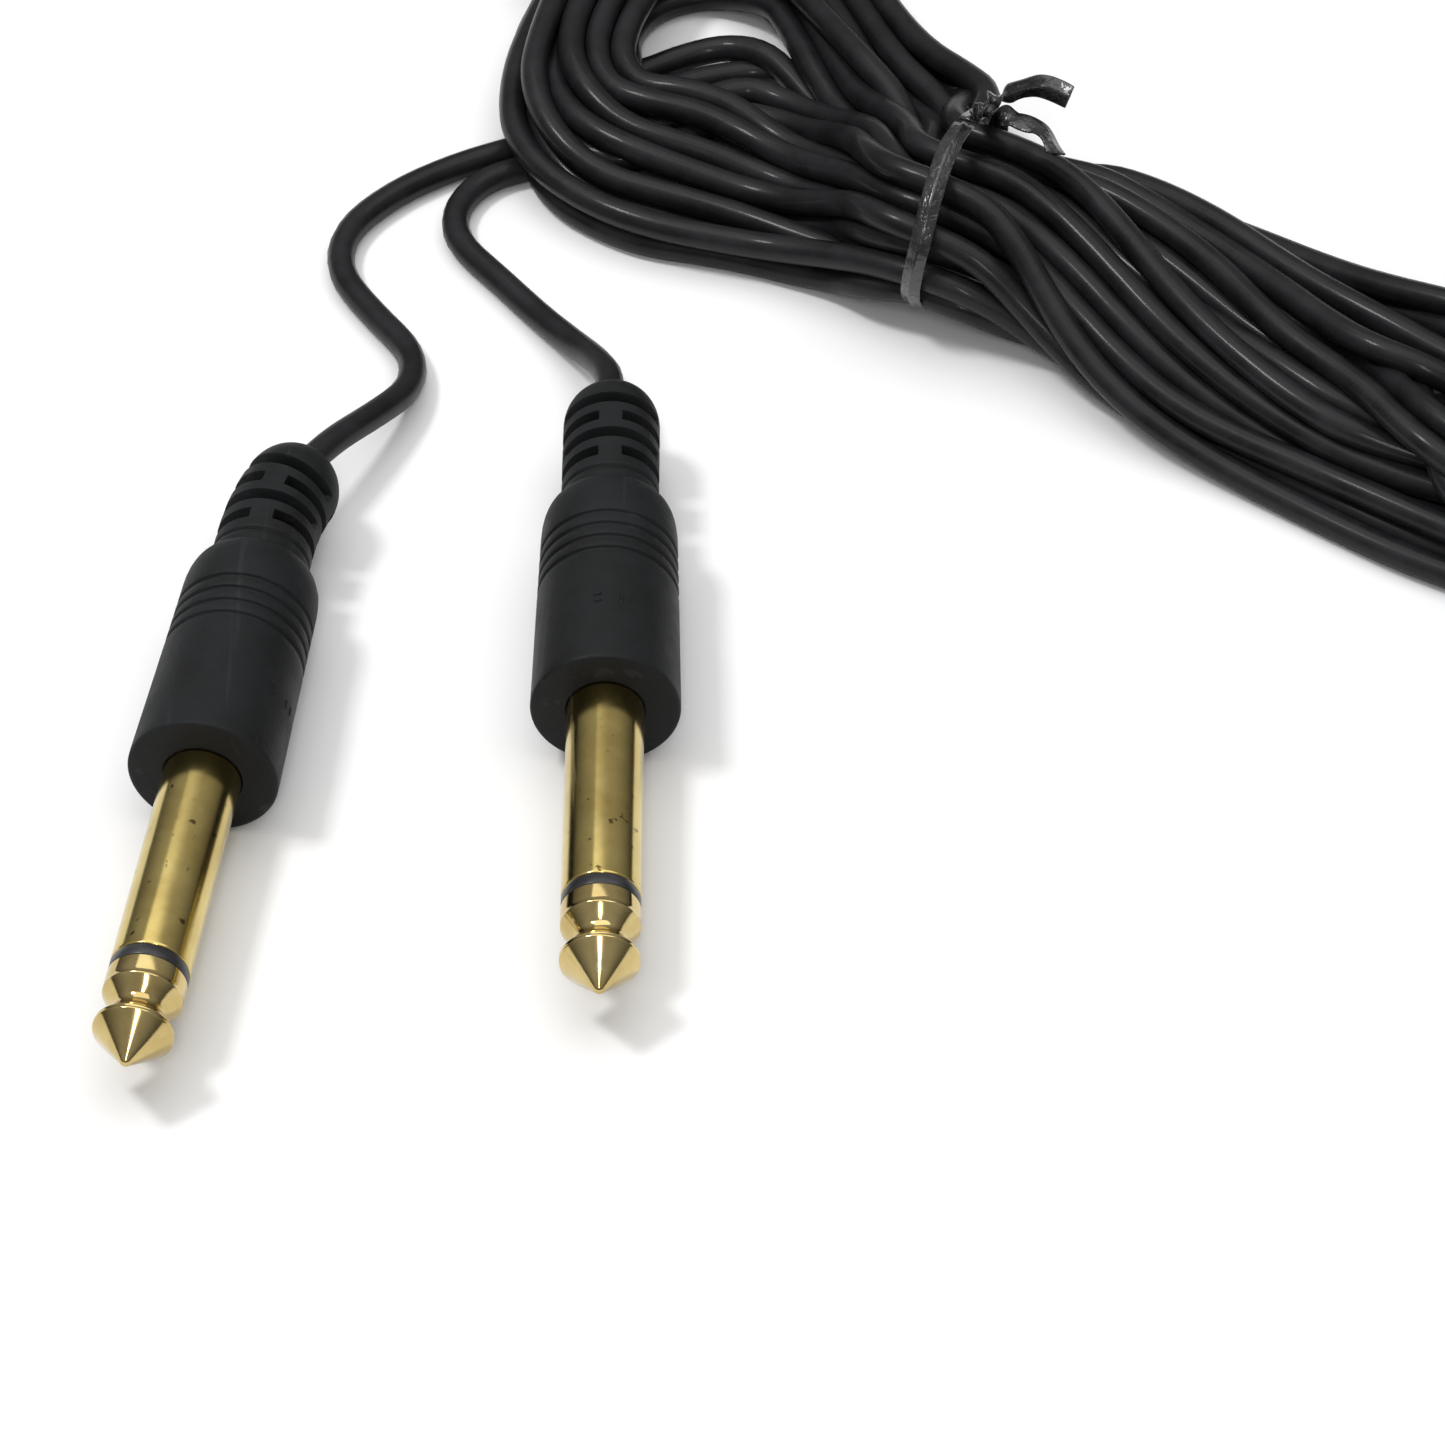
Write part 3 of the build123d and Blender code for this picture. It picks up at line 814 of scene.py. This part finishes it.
def body_outline():
    """Front face with the bore's lip, tapered barrel with four grooves, shoulder and neck."""
    points = [(CAVITY_START, 0.00306), (0.00012, 0.00318), (0.0, 0.00330), (0.0, 0.0045),
              (0.0, FACE_R - 0.00042)]
    points += arc((0.00030, FACE_R - 0.00034), 0.00032, 150, 90, 5)
    at = BARREL_STEP
    while at < RING_GROOVES[0] - 0.0007:
        points.append((at, body_radius(at)))
        at += BARREL_STEP
    for groove in RING_GROOVES:
        for offset, depth in GROOVE_PROFILE:
            points.append((groove + offset, body_radius(groove + offset) - depth))
    for k in range(10):
        part = k / 9
        at = SHOULDER_AT + (NECK_AT - 0.0002 - SHOULDER_AT) * math.sin(part * HALF_PI)
        drop = (SHOULDER_R - NECK_R) * (1 - math.cos(part * HALF_PI)) ** 1.15
        points.append((at, SHOULDER_R - drop))
    points += [(NECK_AT + 0.0003, NECK_R - 0.00002), (0.0242, NECK_R), (BODY_END - 0.0002, NECK_R),
               (BODY_END - 0.00005, NECK_R - 0.0001), (BODY_END, NECK_R - 0.0003),
               (BODY_END, CORD_HOLE_R), (CAVITY_END, CORD_HOLE_R), (CAVITY_END, 0.0034),
               (0.0163, CAVITY_R), (CAVITY_START, CAVITY_R)]
    return points


def moulded_unevenness(plug_shift):
    """Small sink marks and a parting line that a soft moulding has round its barrel."""

    def offset(at, angle):
        if at < 0.0004 or at > 0.0242:
            return 0.0
        sink = 0.000035 * math.sin(2 * angle + plug_shift) * math.sin(at * 170 + plug_shift)
        seam = 0.00003 * math.exp(-(40 * math.cos(angle)) ** 2)
        return sink + seam
    return offset


# Each bar: place across the barrel, place behind the face, width, length
MARK_BARS = ((-0.0011, 0.0066, 0.0009, 0.00035), (-0.0011, 0.0074, 0.0009, 0.00035),
             (0.0009, 0.0070, 0.00035, 0.0012), (0.0018, 0.0070, 0.00035, 0.0012))


def cavity_mark(name, place, lean):
    """Four plain raised bars, the cavity mark of the mould, on the barrel's surface."""
    shape = bmesh.new()
    for side, at, wide, long in MARK_BARS:
        rows = []
        for v in np.linspace(-0.5, 0.5, 5):
            row = []
            for u in np.linspace(-0.5, 0.5, 5):
                y = at + v * long
                angle = lean + (side + u * wide) / body_radius(y)
                edge = max(abs(u), abs(v)) * 2
                r = body_radius(y) + (0.00011 if edge < 0.75 else -0.00005)
                row.append(shape.verts.new((r * math.sin(angle), y, r * math.cos(angle))))
            rows.append(row)
        for a, b in zip(rows, rows[1:]):
            for k in range(4):
                shape.faces.new((a[k], a[k + 1], b[k + 1], b[k]))
        border = [rows[0][k] for k in range(5)] + [rows[k][4] for k in range(1, 5)]
        border += [rows[4][k] for k in range(3, -1, -1)] + [rows[k][0] for k in range(3, 0, -1)]
        shape.faces.new(border[::-1])
    bmesh.ops.recalc_face_normals(shape, faces=shape.faces)
    mesh = bpy.data.meshes.new(name)
    shape.to_mesh(mesh)
    shape.free()
    mesh.transform(place)
    made = bpy.data.objects.new(name, mesh)
    link(made)
    return made


def moulding_finish(name, line_amount):
    """Matt moulded PVC: fine spark texture, dusty haze, paler rubbed spots and short scratches."""
    material, tree, shader = material_with(name, (0.018, 0.019, 0.020), 0.6)
    shader.inputs["Specular IOR Level"].default_value = 0.18
    place, marks = wear(tree, 120.0, 520.0)
    dust = mix(tree, marks.outputs["Smears"], (0.008, 0.0085, 0.0088), (0.015, 0.0162, 0.0178))
    rubbed = mix(tree, levels(tree, marks.outputs["Lines"], 0.0, line_amount), dust, (0.05, 0.053, 0.057))
    tree.links.new(rubbed, shader.inputs["Base Color"])
    tree.links.new(levels(tree, marks.outputs["Smears"], 0.5, 0.72), shader.inputs["Roughness"])
    bumped(tree, shader, noise(tree, place, 3800.0, 3.0), 0.00005, 0.7)
    return material


moulding = moulding_finish("moulded_pvc", 0.28)
MARK_LEAN = {"plug_a": math.radians(62), "plug_b": math.radians(4)}
for number, (plug, place) in enumerate(places.items()):
    barrel = turned(f"{plug}_moulded_body", body_outline(), place, 128, moulded_unevenness(number * 1.7))
    mark = cavity_mark(f"{plug}_cavity_mark", place, MARK_LEAN[plug])
    for piece in (barrel, mark):
        piece.data.materials.append(moulding)
        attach(piece, plug)
    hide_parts(f"{plug}_body")


# ---------------------------------------------------------------------------------------------
# Strain reliefs: a soft slotted tail moulded behind each body, four rows of slots parted by
# bridges that alternate from row to row, and a domed end that the cord comes out of.
RELIEF_R = 0.00415
RELIEF_ROOT = 0.0022
RELIEF_END = 0.0380
SLOT_ROWS = 4
SLOT_FIRST = 0.0269
SLOT_PITCH = 0.0022
SLOT_HALF = 0.00047
BRIDGE_HALF = 0.00105
RELIEF_AROUND = 132
CORD_SOCKET_END = 0.0340
# Plug A's cord pulls its relief over, between these two distances behind the face
RELIEF_BEND = {"plug_a": math.radians(22), "plug_b": 0.0}
BEND_START = 0.0262
BEND_END = 0.0375


def smooth_step(value, low, high):
    """0 below the low value, 1 above the high one and a soft change between them."""
    part = np.clip((value - low) / (high - low), 0, 1)
    return part * part * (3 - 2 * part)


def relief_radius(at, angle):
    """Outer radius of the relief at a distance behind the face and an angle round the axis."""
    flat = RELIEF_END - 0.0044
    dome = np.clip((at - flat) / 0.0043, 0, 1)
    outer = RELIEF_R * np.sqrt(np.maximum(0.0, 1 - (dome * 0.93) ** 2.3)) + 0.00002 * np.sin(3 * angle)
    outer = outer - 0.00035 * (1 - smooth_step(at, BODY_END + 0.0001, BODY_END + 0.0005))
    depth = np.zeros_like(outer)
    for row in range(SLOT_ROWS):
        centre = SLOT_FIRST + row * SLOT_PITCH
        in_slot = 1 - smooth_step(np.abs(at - centre), SLOT_HALF - 0.00008, SLOT_HALF + 0.00010)
        side = np.cos(angle) if row % 2 else np.sin(angle)
        on_bridge = 1 - smooth_step(np.abs(side) * RELIEF_R, BRIDGE_HALF - 0.00008, BRIDGE_HALF + 0.0001)
        depth = np.maximum(depth, in_slot * (1 - on_bridge))
    return outer - depth * np.maximum(0.0, outer - RELIEF_ROOT)


def relief(plug, place):
    """Slotted tail as one closed skin, bent along its length where the cord pulls it over."""
    stations = np.r_[np.linspace(BODY_END, RELIEF_END - 0.0008, 150),
                     np.linspace(RELIEF_END - 0.0007, RELIEF_END, 12)]
    fine = np.linspace(BODY_END, RELIEF_END, 200)
    heading = RELIEF_BEND[plug] * smooth_step(fine, BEND_START, BEND_END)
    step = fine[1] - fine[0]
    centre_x = np.r_[0, np.cumsum(np.sin(heading[:-1]) * step)]
    centre_y = BODY_END + np.r_[0, np.cumsum(np.cos(heading[:-1]) * step)]
    shape = bmesh.new()
    rings = []
    socket = [(RELIEF_END - 0.0005, 0.00128), (CORD_SOCKET_END, 0.00128)]
    angles = np.linspace(0, 2 * math.pi, RELIEF_AROUND, endpoint=False)
    for at, fixed in [(at, None) for at in stations] + socket:
        if fixed:
            radii = np.full(RELIEF_AROUND, fixed)
        else:
            radii = relief_radius(np.full(RELIEF_AROUND, at), angles)
        cx, cy, turn = (np.interp(at, fine, values) for values in (centre_x, centre_y, heading))
        ring = []
        for angle, radius in zip(angles, radii):
            x = radius * math.sin(angle)
            z = radius * math.cos(angle)
            ring.append(shape.verts.new((cx + x * math.cos(turn), cy - x * math.sin(turn), z)))
        rings.append(ring)
    for ring, following in zip(rings, rings[1:]):
        for k in range(RELIEF_AROUND):
            m = (k + 1) % RELIEF_AROUND
            shape.faces.new((ring[k], ring[m], following[m], following[k]))
    shape.faces.new(rings[0])
    shape.faces.new(rings[-1][::-1])
    bmesh.ops.recalc_face_normals(shape, faces=shape.faces)
    mesh = bpy.data.meshes.new(f"{plug}_slotted_relief")
    shape.to_mesh(mesh)
    shape.free()
    mesh.transform(place)
    mesh.shade_smooth()
    mesh.set_sharp_from_angle(angle=math.radians(40))
    made = bpy.data.objects.new(f"{plug}_slotted_relief", mesh)
    link(made)
    return made


for plug, place in places.items():
    tail = relief(plug, place)
    tail.data.materials.append(moulding)
    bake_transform(tail)
    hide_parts(f"{plug}_strain_relief")


# ---------------------------------------------------------------------------------------------
# Inside each plug, hidden by the moulding: terminals and solder, washer, inner moulding, and the
# stripped end of the cord with its core, conductor and screen.
def tinned_finish(name, colour, rough):
    """Dull tinned or soldered metal, mottled where flux has run."""
    material, tree, shader = material_with(name, colour, rough, 1.0)
    place, marks = wear(tree, 700.0, 1800.0)
    dark = tuple(c * 0.62 for c in colour)
    tree.links.new(mix(tree, marks.outputs["Smears"], colour, dark), shader.inputs["Base Color"])
    tree.links.new(levels(tree, marks.outputs["Smears"], rough, rough + 0.25), shader.inputs["Roughness"])
    return material


def plain_moulded_finish(name, colour, rough):
    """Unseen moulded or extruded plastic, faintly clouded, with a fine grain."""
    material, tree, shader = material_with(name, colour, rough)
    place, marks = wear(tree, 350.0, 1100.0)
    pale = tuple(min(1.0, c * 1.25 + 0.01) for c in colour)
    tree.links.new(mix(tree, marks.outputs["Smears"], colour, pale), shader.inputs["Base Color"])
    bumped(tree, shader, noise(tree, place, 2600.0, 2.0), 0.00003)
    return material


def strand_finish():
    """Bare copper wires laid side by side, striped with painted shade between the wires and painted sheen
    along them.
    """
    material, tree, shader = material_with("copper_strands", (0.72, 0.38, 0.22), 0.3, 1.0)
    place = tree.nodes.new("ShaderNodeTexCoord")
    lay = node(tree, "ShaderNodeTexWave", {"Scale": 1500.0, "Distortion": 1.0, "bands_direction": "X"},
               Vector=place.outputs["Object"])
    # Painted light: the colour runs from dark copper in the grooves between the wires (painted shade) to
    # pale copper along their crowns (painted sheen).
    copper = mix(tree, lay.outputs["Fac"], (0.45, 0.20, 0.10), (0.80, 0.45, 0.28))
    tree.links.new(copper, shader.inputs["Base Color"])
    bumped(tree, shader, lay.outputs["Fac"], 0.0001)
    return material


tinned = tinned_finish("tinned_brass", (0.62, 0.60, 0.55), 0.35)
INSIDE = {
    "ground_terminal": tinned,
    "tip_terminal": tinned,
    "solder_joints": tinned_finish("solder", (0.66, 0.66, 0.68), 0.22),
    "back_washer": plain_moulded_finish("fibre_washer", (0.10, 0.06, 0.03), 0.7),
    "inner_mould": plain_moulded_finish("stiff_inner_pvc", (0.03, 0.03, 0.032), 0.5),
    "core_insulation": plain_moulded_finish("core_polyethylene", (0.80, 0.79, 0.74), 0.4),
    "core_conductor": strand_finish(),
    "screen_tail": strand_finish(),
    "cord_jacket_end": jacket,
}
for plug in places:
    for inner, finish in INSIDE.items():
        solid = frame["nodes"][f"{plug}_{inner}"]
        solid.data.materials.clear()
        solid.data.materials.append(finish)


# ---------------------------------------------------------------------------------------------
# Table top and studio light: a pale matt surface, a broad soft light overhead, a small one high on
# the left, a narrow one over the camera, and a surround that is dark low down and paler above.
def table_top():
    """Plain pale surface that everything lies on."""
    shape = bmesh.new()
    bmesh.ops.create_grid(shape, x_segments=1, y_segments=1, size=2.0)
    mesh = bpy.data.meshes.new("table_top")
    shape.to_mesh(mesh)
    shape.free()
    made = bpy.data.objects.new("table_top", mesh)
    link(made)
    material, tree, shader = material_with("pale_table", (0.93, 0.93, 0.93), 0.9)
    place = tree.nodes.new("ShaderNodeTexCoord")
    pale = mix(tree, noise(tree, place, 3.0, 2.0), (0.92, 0.92, 0.92), (0.95, 0.95, 0.95))
    tree.links.new(pale, shader.inputs["Base Color"])
    shader.inputs["Specular IOR Level"].default_value = 0.1
    mesh.materials.append(material)


def soft_light(name, place, aim, size, power):
    """Rectangular lamp at a place, turned towards the point it lights."""
    lamp = bpy.data.lights.new(name, "AREA")
    lamp.shape = "RECTANGLE"
    lamp.size, lamp.size_y = size
    lamp.energy = power
    holder = bpy.data.objects.new(name, lamp)
    holder.location = place
    holder.rotation_euler = (Vector(place) - Vector(aim)).to_track_quat("Z", "Y").to_euler()
    link(holder)


table_top()
soft_light("left_overhead", (-0.30, 0.06, 0.62), (0.06, 0.05, 0.0), (0.12, 0.12), 1.7)
soft_light("over_camera", (0.02, -0.62, 0.62), (0.0, 0.0, 0.0), (0.10, 0.30), 1.3)
soft_light("broad_overhead", (0.10, 0.20, 1.10), (0.05, 0.05, 0.0), (1.4, 1.2), 7.0)
surround = bpy.data.worlds.new("surround")
surround.use_nodes = True
sky = surround.node_tree
background = sky.nodes["Background"]
direction = sky.nodes.new("ShaderNodeTexCoord")
height = node(sky, "ShaderNodeSeparateXYZ", None, Vector=direction.outputs["Generated"])
shade = node(sky, "ShaderNodeMapRange", {"From Min": 0.0, "From Max": 0.6, "To Min": 0.07, "To Max": 0.40},
             Value=height.outputs["Z"])
sky.links.new(shade.outputs["Result"], background.inputs["Strength"])
background.inputs["Color"].default_value = (1.0, 1.0, 1.0, 1)
scene.world = surround
scene.view_settings.view_transform = "Standard"

bpy.context.view_layer.update()
